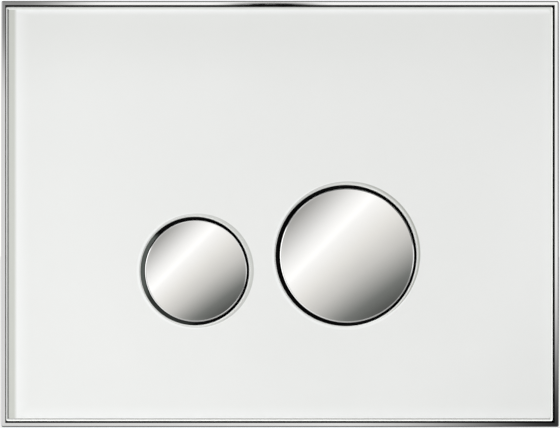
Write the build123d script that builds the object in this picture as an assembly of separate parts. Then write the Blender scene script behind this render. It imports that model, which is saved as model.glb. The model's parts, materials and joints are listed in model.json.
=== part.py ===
"""Flush button plate for a concealed cistern.

A glass panel in a chromed surround carries two round chromed keys: a small one for the half flush
and a large one for the full flush. Behind it are the moulded carrier with the two key wells, the
sprung plungers with their push rods, and the mounting frame that is bolted to the cistern.

Axes: +X to the right as the user sees the plate, +Y into the wall, +Z up. Millimetres.
The origin lies on the wall's face, behind the middle of the plate.
"""
import os
from math import cos, pi, sin, sqrt

from build123d import *

# Driving sizes of what is seen from the front
PLATE_W = 216.0
PLATE_H = 165.0
FRAME_FACE = 1.6
FRAME_CORNER_R = 0.7
FRAME_EDGE = 0.4
GLASS_GAP_X = 0.5
GLASS_GAP_Z = 0.7
GLASS_SHIFT = -0.25
GLASS_CORNER_R = 0.6
ARRIS_W = 0.65
ARRIS_D = 0.5
HOLE_CHAMFER_W = 0.5
HOLE_CHAMFER_D = 0.4
FULL_X = 25.6
FULL_Z = -16.1
FULL_HOLE_R = 27.35
HALF_X = -33.0
HALF_Z = -22.1
HALF_HOLE_R = 21.05
KEY_GAP = 1.3
KEY_SHIFT = 0.4
DOME_RATIO = 0.035
CROWN_FLAT = 0.5

# Thicknesses of the layers, from the front to the wall
GLASS_T = 6.0
TAPE_T = 1.0
LEDGE_T = 2.0
SHEET_T = 2.0
BACK_SPACE = 2.0

# The surround's ledge, the tape on it and the nibs behind the carrier
LEDGE_W = 6.0
TAPE_W = 4.5
SHEET_GAP = 0.4
NIB_W = 0.9
NIB_D = 1.2
NIB_L = 14.0

# Keys and their wells
TRAVEL = 6.0
CAP_DEPTH = 11.0
CAP_WALL = 1.2
WELL_GAP = 0.4
WELL_WALL = 1.6
FLOOR_T = 2.0
FLOOR_CLEAR = 1.0
STEM_R = 5.0
STEM_TAIL = 7.0
STEM_RUN = 0.08
SLEEVE_WALL = 1.6
SLEEVE_CLEAR = 0.5
FLANGE_T = 2.0
ARM_W = 8.0
SPRING_WIRE = 1.0
SPRING_TURNS = 4
SPRING_SIDES = 12
SPRING_SEAT = 0.1
SPRING_SLACK = 0.6
DRAIN_W = 3.0
RING_T = 0.9
RING_W = 2.6
RING_DEPTH = 0.8
RING_CLEAR = 0.3
ROD_R = 3.0
ROD_FIT = 0.05
THREAD_ROOT = 0.88
ROD_REACH = 42.0
ROD_THREAD = 10.0
ROD_GRIP = 14.0
NUT_FLATS = 10.0
NUT_H = 5.0

# The mounting frame and what fixes it
BOLT_SPACING = 160.0
BOLT_R = 3.0
BOLT_REACH = 46.0
BOLT_HEAD_R = 6.0
BOLT_HEAD_H = 3.8
WASHER_HALF = 6.5
WASHER_T = 1.2
SLOT_TRAVEL = 8.0
SLOT_FIT = 0.4
BAR_W = 13.0
BAR_D = 12.0
BAR_WALL = 2.0
BAR_FLOOR = 2.5
BAR_LIP = 7.0
BAR_FRONT = 1.0
BAR_CORNER_R = 7.0
EAR_REACH = 10.0
EAR_HALF = 14.0
WELL_CLEAR = 7.0

# The snap posts on the carrier and the clips that hold them
POST_R = 2.2
POST_BULB = 0.7
CLIP_W = 7.0
CLIP_T = 0.6
CLIP_FIT = 0.15
CLIP_SETBACK = 23.0
SEAT_WALL = 1.5
RIB_T = 1.4

# Levels along Y, all derived
FRAME_D = GLASS_T + TAPE_T + LEDGE_T + SHEET_T + BACK_SPACE
Y_FRONT = -FRAME_D
Y_GLASS_BACK = Y_FRONT + GLASS_T
Y_LEDGE = Y_GLASS_BACK + TAPE_T
Y_SHEET = Y_LEDGE + LEDGE_T
Y_BACK = Y_SHEET + SHEET_T
Y_SKIRT = Y_FRONT + CAP_DEPTH
Y_FLOOR = Y_SKIRT + TRAVEL + FLOOR_CLEAR
Y_WELL_BACK = Y_FLOOR + FLOOR_T
Y_RING = Y_WELL_BACK + RING_CLEAR
Y_STEM_END = Y_RING + STEM_TAIL
Y_BAR = BAR_FRONT
Y_BAR_BACK = Y_BAR + BAR_D
Y_BAR_FLOOR = Y_BAR_BACK - BAR_FLOOR
Y_BAR_LIP = Y_BAR_BACK - BAR_LIP

# Outlines in the plate's plane, all derived
INNER_W = PLATE_W - 2 * FRAME_FACE
INNER_H = PLATE_H - 2 * FRAME_FACE
GLASS_W = INNER_W - 2 * GLASS_GAP_X
GLASS_H = INNER_H - 2 * GLASS_GAP_Z
SHEET_W = INNER_W - 2 * SHEET_GAP
SHEET_H = INNER_H - 2 * SHEET_GAP
SLEEVE_R = STEM_R + STEM_RUN + SLEEVE_WALL
SPRING_R = SLEEVE_R + SPRING_SLACK + SPRING_WIRE / 2


class Key:
    """The sizes that follow from one key's hole. The key stands a little to the right in it."""

    def __init__(self, name, hole_x, z, hole_r):
        self.name = name
        self.hole_x = hole_x
        self.x = hole_x + KEY_SHIFT
        self.z = z
        self.hole_r = hole_r
        self.r = hole_r - KEY_GAP
        self.sag = DOME_RATIO * self.r
        self.inner_r = self.r - CAP_WALL
        self.y_under = Y_FRONT + self.sag + CAP_WALL
        self.y_flange = self.y_under + FLANGE_T
        self.well_r = self.r + WELL_GAP
        self.well_out = self.well_r + WELL_WALL
        self.y_sleeve = self.y_flange + TRAVEL + SLEEVE_CLEAR


FULL = Key("full_flush", FULL_X, FULL_Z, FULL_HOLE_R)
HALF = Key("half_flush", HALF_X, HALF_Z, HALF_HOLE_R)
KEYS = [HALF, FULL]

BAR_OUT_W = BOLT_SPACING + 2 * BAR_W
BAR_OUT_H = 2 * (max(abs(k.z) + k.well_out for k in KEYS) + WELL_CLEAR + BAR_W)
CLIP_X = BAR_OUT_W / 2 - CLIP_SETBACK
CLIP_Z = BAR_OUT_H / 2 - BAR_W / 2
CLIP_SPOTS = [(sx * CLIP_X, sz * CLIP_Z) for sx in (-1, 1) for sz in (-1, 1)]


def rounded(w, h, r):
    """A rounded rectangle in the plate's plane."""
    return RectangleRounded(w, h, min(r, 0.49 * w, 0.49 * h))


def slab(outline, y0, y1):
    """An outline in the plate's plane, extruded from y0 back to y1."""
    return extrude(Plane.XZ.offset(-y0) * outline, amount=y0 - y1)


def taper(outline0, y0, outline1, y1):
    """A solid between two outlines at two levels."""
    return loft([Plane.XZ.offset(-y0) * outline0, Plane.XZ.offset(-y1) * outline1])


def block(x0, x1, y0, y1, z0, z1):
    """A box by its limits."""
    return Pos((x0 + x1) / 2, (y0 + y1) / 2, (z0 + z1) / 2) * Box(x1 - x0, y1 - y0, z1 - z0)


def bar(x, z, r, y0, y1):
    """A round bar along Y."""
    stock = Cylinder(r, y1 - y0, align=(Align.CENTER, Align.CENTER, Align.MIN))
    return Pos(x, y0, z) * Rot(X=-90) * stock


def flare(x, z, y0, r0, y1, r1):
    """A cone along Y from radius r0 at y0 to radius r1 at y1."""
    stock = Cone(r0, r1, y1 - y0, align=(Align.CENTER, Align.CENTER, Align.MIN))
    return Pos(x, y0, z) * Rot(X=-90) * stock


def turned(points):
    """A body of revolution about Y, from a closed outline of (radius, y) points."""
    return revolve(make_face(Polyline(*points, close=True).edges()), axis=Axis.Y)


def at(k, shape):
    """A shape made on the Y axis, moved to a key's own axis."""
    return Pos(k.x, 0, k.z) * shape


def surround_frame():
    """The chromed rim: a thin wall right round the plate, a ledge inside it and nibs behind the carrier."""
    wall = slab(rounded(PLATE_W, PLATE_H, FRAME_CORNER_R), Y_FRONT, 0)
    front = wall.faces().sort_by(Axis.Y)[0]
    wall = chamfer(front.edges(), FRAME_EDGE)
    wall -= slab(Rectangle(INNER_W, INNER_H), Y_FRONT - 1, 1)
    ledge = slab(Rectangle(INNER_W, INNER_H), Y_LEDGE, Y_SHEET)
    ledge -= slab(Rectangle(INNER_W - 2 * LEDGE_W, INNER_H - 2 * LEDGE_W), Y_LEDGE - 1, Y_SHEET + 1)
    frame = wall + ledge
    for side in (-1, 1):
        for place in (-0.3, 0.3):
            x0, x1 = sorted([side * (INNER_W / 2 - NIB_W), side * (INNER_W / 2 + FRAME_FACE / 2)])
            z = place * INNER_H
            frame += block(x0, x1, Y_BACK, Y_BACK + NIB_D, z - NIB_L / 2, z + NIB_L / 2)
            z0, z1 = sorted([side * (INNER_H / 2 - NIB_W), side * (INNER_H / 2 + FRAME_FACE / 2)])
            x = place * INNER_W
            frame += block(x - NIB_L / 2, x + NIB_L / 2, Y_BACK, Y_BACK + NIB_D, z0, z1)
    return frame


def glass_panel():
    """Six millimetre glass, bonded a little left of its rim's middle, with a ground arris at the front."""
    face_w = GLASS_W - 2 * ARRIS_W
    face_h = GLASS_H - 2 * ARRIS_W
    y_arris = Y_FRONT + ARRIS_D
    outline = rounded(GLASS_W, GLASS_H, GLASS_CORNER_R)
    panel = slab(outline, y_arris, Y_GLASS_BACK)
    panel += taper(outline, y_arris, rounded(face_w, face_h, GLASS_CORNER_R), Y_FRONT)
    panel = Pos(GLASS_SHIFT, 0, 0) * panel
    for k in KEYS:
        panel -= bar(k.hole_x, k.z, k.hole_r, Y_FRONT - 1, Y_GLASS_BACK + 1)
        y_end = Y_FRONT + HOLE_CHAMFER_D
        panel -= flare(k.hole_x, k.z, Y_FRONT, k.hole_r + HOLE_CHAMFER_W, y_end, k.hole_r)
    return panel


def bonding_tape():
    """One die-cut frame of foam tape between the glass and the ledge."""
    w = GLASS_W - 2 * (LEDGE_W - TAPE_W) / 2
    h = GLASS_H - 2 * (LEDGE_W - TAPE_W) / 2
    tape = slab(Rectangle(w, h), Y_GLASS_BACK, Y_LEDGE)
    return tape - slab(Rectangle(w - 2 * TAPE_W, h - 2 * TAPE_W), Y_GLASS_BACK - 1, Y_LEDGE + 1)


def carrier_plate():
    """One moulding: the backing sheet, both key wells with their guide sleeves, ribs and snap posts."""
    sheet = slab(rounded(SHEET_W, SHEET_H, FRAME_CORNER_R), Y_SHEET, Y_BACK)
    rib_back = Y_BACK + 0.75 * BACK_SPACE
    reach_x = INNER_W / 2 - 2 * LEDGE_W
    reach_z = INNER_H / 2 - 2 * LEDGE_W
    for k in KEYS:
        sheet += block(-reach_x, reach_x, Y_BACK, rib_back, k.z - RIB_T / 2, k.z + RIB_T / 2)
        sheet += block(k.x - RIB_T / 2, k.x + RIB_T / 2, Y_BACK, rib_back, -reach_z, reach_z)
        sheet += bar(k.x, k.z, k.well_out, Y_GLASS_BACK, Y_WELL_BACK)
    for k in KEYS:
        sheet -= bar(k.x, k.z, k.well_r, Y_GLASS_BACK - 1, Y_FLOOR)
        sheet += bar(k.x, k.z, SLEEVE_R, k.y_sleeve, Y_WELL_BACK)
        sheet -= bar(k.x, k.z, STEM_R + STEM_RUN, k.y_sleeve - 1, Y_WELL_BACK + 1)
        sheet -= block(
            k.x - DRAIN_W, k.x + DRAIN_W, Y_FLOOR - 1, Y_WELL_BACK + 1,
            k.z - k.well_r + WELL_WALL, k.z - k.well_r + WELL_WALL + DRAIN_W,
        )
    for x, z in CLIP_SPOTS:
        sheet += Pos(x, 0, z) * snap_post()
    stop_z = BAR_OUT_H / 2 - BAR_WALL / 2
    stop_x = BAR_OUT_W / 2 - BAR_WALL / 2
    for sx in (-1, 1):
        for sz in (-1, 1):
            cx, cz = sx * 0.45 * BAR_OUT_W / 2, sz * stop_z
            sheet += block(cx - 6, cx + 6, Y_BACK, Y_BAR, cz - BAR_WALL, cz + BAR_WALL)
            cx, cz = sx * stop_x, sz * 0.55 * BAR_OUT_H / 2
            sheet += block(cx - BAR_WALL, cx + BAR_WALL, Y_BACK, Y_BAR, cz - 6, cz + 6)
    return sheet


def side_profile(points, width):
    """A closed outline of (z, y) points across a bar, extruded along X about its middle."""
    outline = make_face(Polyline(*points, close=True).edges())
    plane = Plane((-width / 2, 0, 0), x_dir=(0, 0, 1), z_dir=(-1, 0, 0))
    return extrude(plane * outline, amount=-width)


def snap_post():
    """A flat post with a barbed bulb that the clip's legs close behind."""
    y_end = Y_BAR_FLOOR - CLIP_T - WELL_GAP
    y_bulb = y_end - 2 * POST_R
    bulb = POST_R + POST_BULB
    right = [(POST_R, Y_BACK), (POST_R, y_bulb), (bulb, y_bulb + POST_BULB)]
    right += [(bulb, y_bulb + POST_R), (0.5 * POST_R, y_end)]
    left = [(-z, y) for z, y in reversed(right)]
    return side_profile(right + left, 0.75 * CLIP_W)


def key_cap(k):
    """A chromed cup: a crowned face and a skirt that slides in the well."""
    points = [(0, Y_FRONT), (CROWN_FLAT * k.r, Y_FRONT), (k.r, Y_FRONT + k.sag), (k.r, Y_SKIRT)]
    points += [(k.inner_r, Y_SKIRT), (k.inner_r, k.y_under), (0, k.y_under)]
    return at(k, turned(points))


def plunger(k):
    """A four-armed spider pressed into the cap, on a stem that runs in the well's guide sleeve."""
    bore = THREAD_ROOT * ROD_R + ROD_FIT
    y_bore = Y_STEM_END - ROD_GRIP - 1
    body = bar(0, 0, STEM_R, k.y_under, Y_STEM_END)
    tip_r = k.inner_r - ROD_FIT
    arm = sqrt(tip_r**2 - (ARM_W / 2) ** 2)
    body += block(-arm, arm, k.y_under, k.y_flange, -ARM_W / 2, ARM_W / 2)
    body += block(-ARM_W / 2, ARM_W / 2, k.y_under, k.y_flange, -arm, arm)
    rib_in = SPRING_R + SPRING_WIRE
    rib_out = arm - CAP_WALL
    rib_back = k.y_flange + FLANGE_T
    for turn in (0, 90, 180, 270):
        rib = block(rib_in, rib_out, k.y_flange - 0.5, rib_back, -RIB_T / 2, RIB_T / 2)
        body += Rot(Y=turn) * rib
    body -= bar(0, 0, bore, y_bore, Y_STEM_END + 1)
    flat = STEM_R - RING_DEPTH
    for x0, x1 in ((-2 * STEM_R, -flat), (flat, 2 * STEM_R)):
        body -= block(x0, x1, Y_RING, Y_RING + RING_T + ROD_FIT, -2 * STEM_R, 2 * STEM_R)
    return at(k, body)


def return_spring(k):
    """A compression spring with ground ends, between the well's floor and the plunger's arms."""
    y0 = k.y_flange + SPRING_SEAT
    y1 = Y_FLOOR - SPRING_SEAT
    steps = int(round(SPRING_TURNS * SPRING_SIDES))
    spots = [(y0 + (y1 - y0) * i / steps, 2 * pi * i / SPRING_SIDES) for i in range(steps + 1)]
    path = Polyline(*[(SPRING_R * cos(a), y, SPRING_R * sin(a)) for y, a in spots])
    section = Plane(path @ 0, x_dir=(1, 0, 0), z_dir=path % 0) * Rectangle(SPRING_WIRE, SPRING_WIRE)
    coil = sweep(section, path=path, transition=Transition.RIGHT)
    reach = 2 * SPRING_R
    return at(k, coil & block(-reach, reach, y0, y1, -reach, reach))


def retaining_clip(k):
    """A flat fork pushed across the stem into two notches, which stops the key behind the well's floor."""
    half = STEM_R + RING_W
    slot = STEM_R - RING_DEPTH + ROD_FIT
    fork = block(-half, half, Y_RING, Y_RING + RING_T, -STEM_R, half)
    fork -= block(-slot, slot, Y_RING - 1, Y_RING + RING_T + 1, -half, STEM_R + ROD_FIT)
    return at(k, fork)


def push_rod(k):
    """A rod screwed into the stem: a threaded end, then a plain shank."""
    y0 = Y_STEM_END - ROD_GRIP
    y_plain = Y_STEM_END + ROD_THREAD
    root = THREAD_ROOT * ROD_R
    rod = bar(0, 0, root, y0, y_plain) + bar(0, 0, ROD_R, y_plain, Y_STEM_END + ROD_REACH)
    return at(k, rod)


def lock_nut(k):
    """A hexagon nut on the rod, run up against the end of the stem."""
    hexagon = RegularPolygon(NUT_FLATS / 2, 6, major_radius=False)
    nut = slab(hexagon, Y_STEM_END, Y_STEM_END + NUT_H)
    nut -= bar(0, 0, THREAD_ROOT * ROD_R + ROD_FIT, Y_STEM_END - 1, Y_STEM_END + NUT_H + 1)
    return at(k, nut)


def bar_outline(inset):
    """The mounting frame's outline with its two ears, drawn in by the given wall on every side."""
    r = BAR_CORNER_R - inset
    outer = rounded(BAR_OUT_W - 2 * inset, BAR_OUT_H - 2 * inset, r)
    hole_w = BAR_OUT_W - 2 * BAR_W + 2 * inset
    hole_h = BAR_OUT_H - 2 * BAR_W + 2 * inset
    hole = Rectangle(hole_w, hole_h)
    for side in (-1, 1):
        ear_w = EAR_REACH + BAR_W
        ear_x = BOLT_SPACING / 2 - EAR_REACH + inset + ear_w / 2
        hole -= Pos(side * ear_x, 0) * Rectangle(ear_w, 2 * (EAR_HALF - inset))
    return outer - hole


def mounting_frame():
    """A moulded channel right round the cistern's opening, with a slotted ear at each side."""
    body = slab(bar_outline(0), Y_BAR, Y_BAR_BACK)
    body -= slab(bar_outline(BAR_WALL), Y_BAR - 1, Y_BAR_FLOOR)
    inner = rounded(BAR_OUT_W - 2 * BAR_WALL, BAR_OUT_H - 2 * BAR_WALL, BAR_CORNER_R - BAR_WALL)
    body -= slab(inner, Y_BAR - 1, Y_BAR_LIP)
    near = CLIP_W / 2 + CLIP_FIT
    for x, z in CLIP_SPOTS:
        for side in (-1, 1):
            xs = sorted([x + side * near, x + side * (near + SEAT_WALL)])
            z_half = BAR_W / 2 - BAR_WALL / 2
            body += block(xs[0], xs[1], Y_BAR_LIP, Y_BAR_FLOOR + 0.5, z - z_half, z + z_half)
    slot_r = BOLT_R + SLOT_FIT
    for side in (-1, 1):
        x = side * BOLT_SPACING / 2
        half = SLOT_TRAVEL / 2
        for z in (-half, half):
            body -= bar(x, z, slot_r, Y_BAR_FLOOR - 1, Y_BAR_BACK + 1)
        body -= block(x - slot_r, x + slot_r, Y_BAR_FLOOR - 1, Y_BAR_BACK + 1, -half, half)
    return body


def fixing_washers():
    """Two square plate washers on the ears."""
    y0 = Y_BAR_FLOOR - WASHER_T
    washer = block(-WASHER_HALF, WASHER_HALF, y0, Y_BAR_FLOOR, -WASHER_HALF, WASHER_HALF)
    washer -= bar(0, 0, BOLT_R + ROD_FIT, y0 - 1, Y_BAR_FLOOR + 1)
    return [Pos(side * BOLT_SPACING / 2, 0, 0) * washer for side in (-1, 1)]


def fixing_bolts():
    """Two long bolts through the ears to the cistern: a slotted head, a plain neck, then the thread."""
    y_head = Y_BAR_FLOOR - WASHER_T
    y_top = y_head - BOLT_HEAD_H
    y_neck = Y_BAR_BACK + 1
    bolt = bar(0, 0, BOLT_HEAD_R, y_top, y_head) + bar(0, 0, THREAD_ROOT * BOLT_R, y_head, y_neck)
    bolt += bar(0, 0, BOLT_R, y_neck, Y_BAR_BACK + BOLT_REACH)
    slot = 0.13 * BOLT_HEAD_R
    bolt -= block(-2 * BOLT_HEAD_R, 2 * BOLT_HEAD_R, y_top - 1, y_top + 0.45 * BOLT_HEAD_H, -slot, slot)
    return [Pos(side * BOLT_SPACING / 2, 0, 0) * bolt for side in (-1, 1)]


def snap_clips():
    """Four folded spring steel clips in the channel, whose legs close on the carrier's posts."""
    t = CLIP_T
    y_end = Y_BAR_FLOOR - t - WELL_GAP
    y_waist = y_end - 2 * POST_R
    y_mouth = y_waist - 0.9 * POST_R
    waist = POST_R + CLIP_FIT
    foot = POST_R + POST_BULB + CLIP_FIT
    wide = foot + 0.2
    inside = [(foot, Y_BAR_FLOOR - t), (foot, y_waist + POST_BULB), (waist, y_waist - 0.2), (wide, y_mouth)]
    outside = [(wide + t, y_mouth), (waist + t, y_waist - 0.2), (foot + t, y_waist + POST_BULB)]
    right = inside + outside + [(foot + t, Y_BAR_FLOOR)]
    left = [(-z, y) for z, y in reversed(right)]
    clip = side_profile(right + left, CLIP_W)
    return [Pos(x, 0, z) * clip for x, z in CLIP_SPOTS]


def save(name, shape):
    """Write one node, a single solid or a group of like solids."""
    group = shape if isinstance(shape, list) else [shape]
    solids = [s for piece in group for s in piece.solids()]
    export_step(solids[0] if len(solids) == 1 else Compound(solids), f"parts/{name}.step")
    print(name, len(solids), round(sum(s.volume for s in solids) / 1000, 2), "cm3")


os.makedirs("parts", exist_ok=True)
save("surround_frame", surround_frame())
save("glass_panel", glass_panel())
save("bonding_tape", bonding_tape())
save("carrier_plate", carrier_plate())
for key in KEYS:
    save(key.name + "_key_cap", key_cap(key))
    save(key.name + "_plunger", plunger(key))
    save(key.name + "_return_spring", return_spring(key))
    save(key.name + "_retaining_clip", retaining_clip(key))
    save(key.name + "_push_rod", push_rod(key))
    save(key.name + "_lock_nut", lock_nut(key))
save("mounting_frame", mounting_frame())
save("snap_clips", snap_clips())
save("fixing_washers", fixing_washers())
save("fixing_bolts", fixing_bolts())
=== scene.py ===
# %% [markdown]
# A flush button plate for a concealed cistern, dressed in Blender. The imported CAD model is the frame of
# this lesson: every piece made here goes exactly where the CAD node is, in metres, with +Y into the wall
# and +Z up. The box of the CAD model is kept at once, because the dressed model has to stay inside it.

import json
from math import asin, cos, pi, radians, sin, sqrt, tan

import bmesh
import bpy
from mathutils import Matrix, Vector


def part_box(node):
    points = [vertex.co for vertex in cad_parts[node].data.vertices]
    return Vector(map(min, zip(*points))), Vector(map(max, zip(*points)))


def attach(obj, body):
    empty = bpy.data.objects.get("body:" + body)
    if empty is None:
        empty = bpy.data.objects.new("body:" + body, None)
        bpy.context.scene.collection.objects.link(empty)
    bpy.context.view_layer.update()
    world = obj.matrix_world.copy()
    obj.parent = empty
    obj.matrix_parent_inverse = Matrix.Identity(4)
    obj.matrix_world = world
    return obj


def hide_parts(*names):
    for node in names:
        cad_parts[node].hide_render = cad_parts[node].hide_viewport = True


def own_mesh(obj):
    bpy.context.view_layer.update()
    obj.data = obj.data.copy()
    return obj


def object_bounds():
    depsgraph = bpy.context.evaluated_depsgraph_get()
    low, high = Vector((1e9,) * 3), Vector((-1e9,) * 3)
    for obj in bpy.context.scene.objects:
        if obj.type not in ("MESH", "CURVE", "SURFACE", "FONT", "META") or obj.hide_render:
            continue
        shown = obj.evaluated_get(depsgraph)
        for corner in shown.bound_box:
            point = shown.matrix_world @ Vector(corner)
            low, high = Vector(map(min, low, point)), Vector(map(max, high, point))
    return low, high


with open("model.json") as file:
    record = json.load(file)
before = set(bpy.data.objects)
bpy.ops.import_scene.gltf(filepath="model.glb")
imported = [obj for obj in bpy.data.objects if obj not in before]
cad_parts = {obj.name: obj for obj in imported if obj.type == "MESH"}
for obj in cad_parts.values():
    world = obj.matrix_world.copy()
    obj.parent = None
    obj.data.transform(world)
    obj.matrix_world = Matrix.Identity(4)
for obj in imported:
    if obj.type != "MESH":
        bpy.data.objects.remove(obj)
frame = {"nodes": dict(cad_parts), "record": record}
cad_low, cad_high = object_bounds()
scene = bpy.context.scene
MM = 0.001
print("CAD nodes:", len(frame["nodes"]), "box in mm:", [round(v / MM, 1) for v in cad_high - cad_low])

# %% [markdown]
# Each part of this plate rides on one of three bodies: the plate itself and the two keys that slide into
# it. The record says which node belongs to which body and which finish it has, so a small table made from
# it saves repeating those names at every piece.

# %% Which body and finish each node has
BODY_OF = {}
for body_name, members in frame["record"]["behaviour"]["bodies"].items():
    for member in members:
        BODY_OF[member] = body_name
SLOT_OF = {part["node"]: part["material_slot"] for part in frame["record"]["subparts"]}
KEYS = ["half_flush", "full_flush"]
print("bodies:", sorted(set(BODY_OF.values())), "finishes:", sorted(set(SLOT_OF.values())))

# %% [markdown]
# A finish is a small tree of shader nodes. A few short helpers keep the trees readable. The first adds a
# node and fills in its sockets, either with a plain value or with a link from another node. The others
# are the nodes that come up again and again: sums, ramps, blends of two colours, and the three axes of a
# place.

# %% Helpers: shader nodes
def add_node(tree, kind, settings=None, **inputs):
    """Add a node; each input is a value to set or a socket to link from."""
    made = tree.nodes.new(kind)
    for name, value in (settings or {}).items():
        setattr(made, name, value)
    for name, value in inputs.items():
        key = int(name[1:]) if name[0] == "i" and name[1:].isdigit() else name.replace("_", " ")
        socket = made.inputs[key]
        if isinstance(value, bpy.types.NodeSocket):
            tree.links.new(value, socket)
        else:
            socket.default_value = value
    return made


def calculate(tree, operation, a, b=0.0):
    """A Math node, for masks and distances."""
    return add_node(tree, "ShaderNodeMath", {"operation": operation}, i0=a, i1=b).outputs[0]


def ramp(tree, value, start, end, low=0.0, high=1.0):
    """A straight ramp: low up to the start, high from the end on."""
    made = add_node(tree, "ShaderNodeMapRange", Value=value, From_Min=start, From_Max=end,
                    To_Min=low, To_Max=high)
    return made.outputs["Result"]


def soft_share(tree, value, whole, gone, most=1.0):
    """The most up to one value, nothing beyond another, smooth between."""
    made = add_node(tree, "ShaderNodeMapRange", {"interpolation_type": "SMOOTHSTEP"}, Value=value,
                    From_Min=whole, From_Max=gone, To_Min=most, To_Max=0.0)
    return made.outputs["Result"]


def blend_colours(tree, share, first, second):
    """A Mix node for colours."""
    return add_node(tree, "ShaderNodeMix", {"data_type": "RGBA"}, i0=share, i6=first, i7=second).outputs[2]


def axes(tree, place):
    """The X, Y and Z of a place or a direction."""
    return add_node(tree, "ShaderNodeSeparateXYZ", Vector=place).outputs


print("node helpers ready in Blender", bpy.app.version_string)

# %% [markdown]
# A finish starts as a material with a Principled shader. A value that is the same all over the surface is
# set on the shader's own socket. What changes over the surface is fed to a socket from other nodes, which
# read the piece's own coordinates.

# %% Helpers: start and feed a finish
def empty_material(name):
    """A new material with an empty tree."""
    material = bpy.data.materials.new(name)
    material.use_nodes = True
    material.node_tree.nodes.clear()
    return material, material.node_tree


def start_finish(name, **constants):
    """A new material with a Principled shader and the piece's own coordinates."""
    material, tree = empty_material(name)
    shader = add_node(tree, "ShaderNodeBsdfPrincipled", **constants)
    add_node(tree, "ShaderNodeOutputMaterial", Surface=shader.outputs["BSDF"])
    place = add_node(tree, "ShaderNodeTexCoord").outputs["Object"]
    return material, tree, shader, place


def feed(tree, shader, **sockets):
    """Link what changes over the surface to the shader's sockets."""
    for name, socket in sockets.items():
        tree.links.new(socket, shader.inputs[name.replace("_", " ")])


print("materials before the first finish:", len(bpy.data.materials))

# %% [markdown]
# No real surface is perfectly even. Chrome has patches that were wiped more often, mouldings are a little
# cloudy, and zinc has soft blotches. One noise texture does all of that, so it is made once as a node
# group with named inputs: it puts out a value between Low and High, and a colour between two tones.

# %% Shared group: uneven surface
NOISE_REACH = (0.32, 0.68)


def start_group(name, takes, gives):
    """A node group with named sockets; gives back the group and what it is given."""
    group = bpy.data.node_groups.new(name, "ShaderNodeTree")
    for way, sockets in (("INPUT", takes), ("OUTPUT", gives)):
        for label, kind in sockets.items():
            group.interface.new_socket(label, in_out=way, socket_type="NodeSocket" + kind)
    return group, group.nodes.new("NodeGroupInput").outputs


def build_uneven():
    takes = {"Vector": "Vector", "Scale": "Float", "Low": "Float", "High": "Float",
             "Tone A": "Color", "Tone B": "Color"}
    group, given = start_group("uneven_surface", takes, {"Value": "Float", "Color": "Color"})
    noise = add_node(group, "ShaderNodeTexNoise", Vector=given["Vector"], Scale=given["Scale"], Detail=4.0)
    spread = ramp(group, noise.outputs["Fac"], *NOISE_REACH)
    value = ramp(group, spread, 0.0, 1.0, given["Low"], given["High"])
    tone = blend_colours(group, spread, given["Tone A"], given["Tone B"])
    add_node(group, "NodeGroupOutput", Value=value, Color=tone)
    return group


def uneven(tree, place, scale, spread=(0.0, 1.0), tones=((0, 0, 0), (1, 1, 1))):
    """Place the uneven group in a material with its own values."""
    made = add_node(tree, "ShaderNodeGroup", {"node_tree": uneven_group}, Vector=place, Scale=scale,
                    Low=spread[0], High=spread[1], Tone_A=(*tones[0], 1), Tone_B=(*tones[1], 1))
    return made.outputs


uneven_group = build_uneven()
print("group:", uneven_group.name, [s.name for s in uneven_group.interface.items_tree])

# %% [markdown]
# Moulded plastic carries the texture of the steel mould: a very fine, spark-eroded grain. It is a height,
# not a colour, so its group puts out a height for a Bump node. Two noises, one more than twice as fine as
# the other, look less regular than a single one.

# %% Shared group: mould grain
FINER = 2.3


def build_grain():
    group, given = start_group("mould_grain", {"Vector": "Vector", "Scale": "Float"}, {"Height": "Float"})
    coarse = add_node(group, "ShaderNodeTexNoise", Vector=given["Vector"], Scale=given["Scale"], Detail=2.0)
    fine_scale = calculate(group, "MULTIPLY", given["Scale"], FINER)
    fine = add_node(group, "ShaderNodeTexNoise", Vector=given["Vector"], Scale=fine_scale, Detail=1.0)
    both = calculate(group, "ADD", coarse.outputs["Fac"], fine.outputs["Fac"])
    add_node(group, "NodeGroupOutput", Height=both)
    return group


def grain_bump(tree, place, scale, strength, distance):
    """Place the grain group behind a Bump node and give back its normal."""
    made = add_node(tree, "ShaderNodeGroup", {"node_tree": grain_group}, Vector=place, Scale=scale)
    height = made.outputs["Height"]
    bump = add_node(tree, "ShaderNodeBump", Strength=strength, Distance=distance, Height=height)
    return bump.outputs["Normal"]


grain_group = build_grain()
print("group:", grain_group.name, [s.name for s in grain_group.interface.items_tree])

# %% [markdown]
# Bright chrome is nearly a perfect mirror: what makes it look like chrome is what it reflects, so its own
# colour is a plain light grey, a touch warm, and it is mainly the roughness that varies, where fingers
# and cloths have passed.

# %% Finish: key chrome
CHROME_TONES = ((0.865, 0.865, 0.855), (0.885, 0.885, 0.875))
CHROME_ROUGH = (0.015, 0.045)
TINT_SCALE = 60.0
WIPE_SCALE = 220.0


def polished_chrome(name):
    material, tree, shader, place = start_finish(name, Metallic=1.0, Specular_IOR_Level=0.1)
    tint = uneven(tree, place, TINT_SCALE, tones=CHROME_TONES)
    wiped = uneven(tree, place, WIPE_SCALE, CHROME_ROUGH)
    feed(tree, shader, Base_Color=tint["Color"], Roughness=wiped["Value"])
    return material, tree, shader, place


key_chrome = polished_chrome("key_chrome")[0]
print("finish:", key_chrome.name)

# %% [markdown]
# The slit between rim and glass lies in deep shade and looks black. That shade is painted into the rim's
# finish: a mask from the piece's own coordinates marks everything inside the rim's inner wall, behind the
# glass; it turns the metal off and paints the colour dark there.

# %% Finish: rim chrome with painted shade inside
RIM_W = 1.55 * MM
rim_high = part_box("surround_frame")[1]
RIM_INNER = {"X": rim_high.x - RIM_W, "Z": rim_high.z - RIM_W}
SHADE_BLACK = (0.004, 0.004, 0.004, 1)
SHADE_ROUGH = 0.5


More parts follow.
